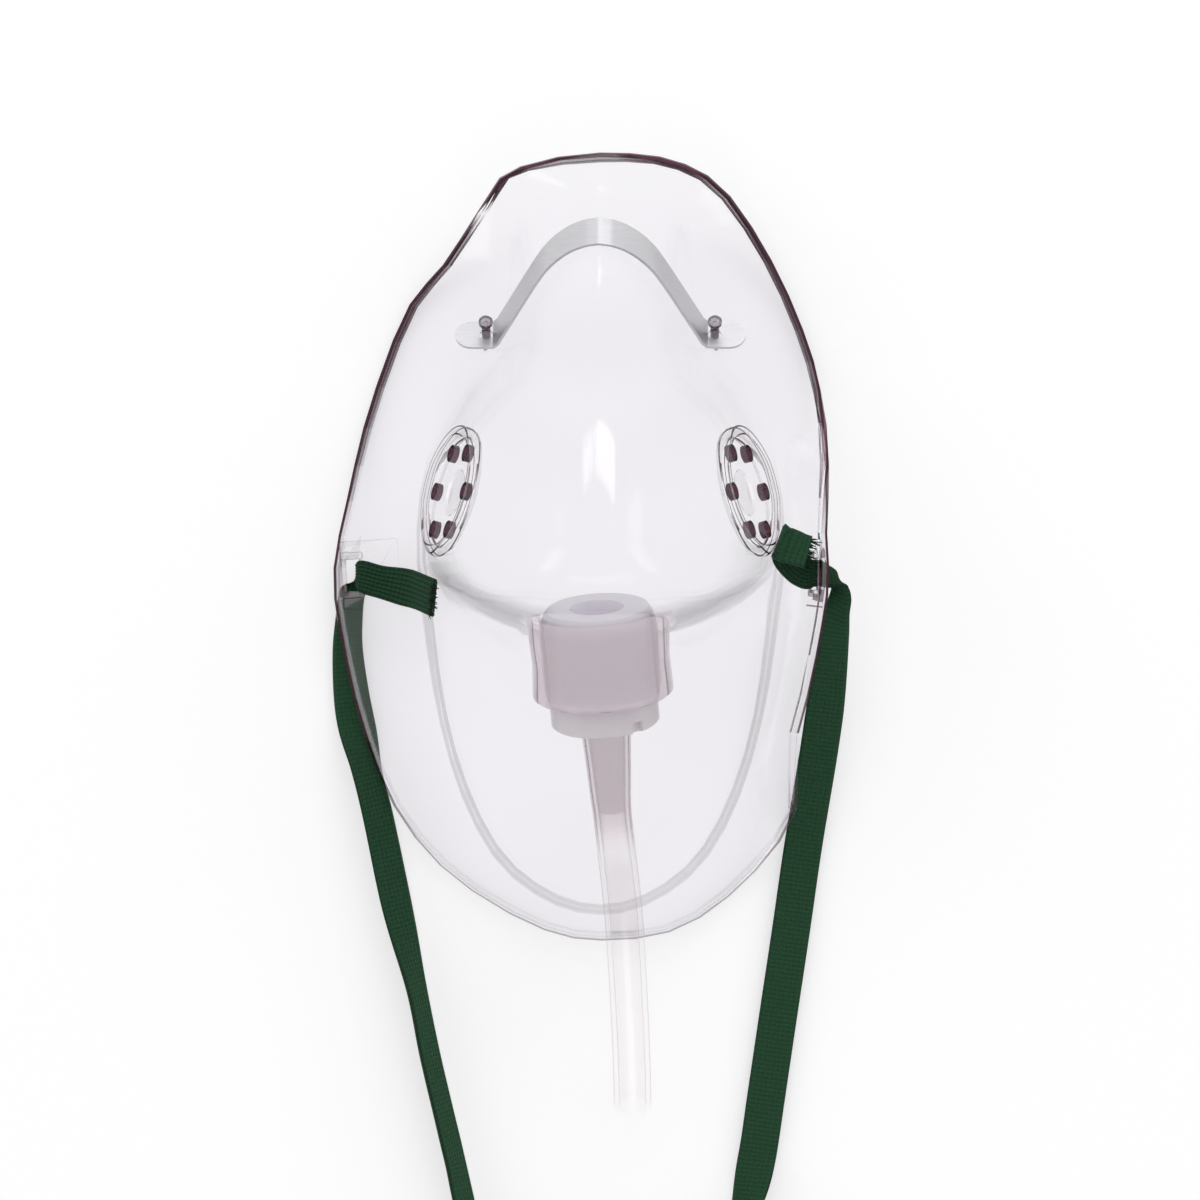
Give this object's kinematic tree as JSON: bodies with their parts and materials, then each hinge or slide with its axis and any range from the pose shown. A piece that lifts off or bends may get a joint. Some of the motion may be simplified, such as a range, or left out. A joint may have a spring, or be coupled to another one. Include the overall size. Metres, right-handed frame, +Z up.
{
  "type": "oxygen face mask",
  "caption": "Soft clear oxygen mask with a nose dome, beaded flange, vent discs, nose clip, angled tube connector, a short supply tube and an elastic head strap.",
  "frame": {"origin": "middle of the mask's own bounding box, on the plane its flange rests on; the strap and the tube are left out of that box", "axes": "+Z up out of the open side through the nose dome, +Y from the chin end to the nose bridge, +X to the side whose flange is curled up"},
  "size_m": [0.098, 0.227, 0.064],
  "materials": {
    "clear_vinyl": "clear soft vinyl with a faint lilac tint",
    "aluminium": "soft satin strip",
    "milky_plastic": "milky satin",
    "clear_tubing": "clear soft tubing",
    "green_elastic": "ribbed knitted elastic"
  },
  "bodies": {
    "root": {"mask_shell": "clear_vinyl", "nose_clip": "aluminium", "tube_connector": "milky_plastic", "oxygen_tube": "clear_tubing", "elastic_strap": "green_elastic"}
  },
  "joints": []
}
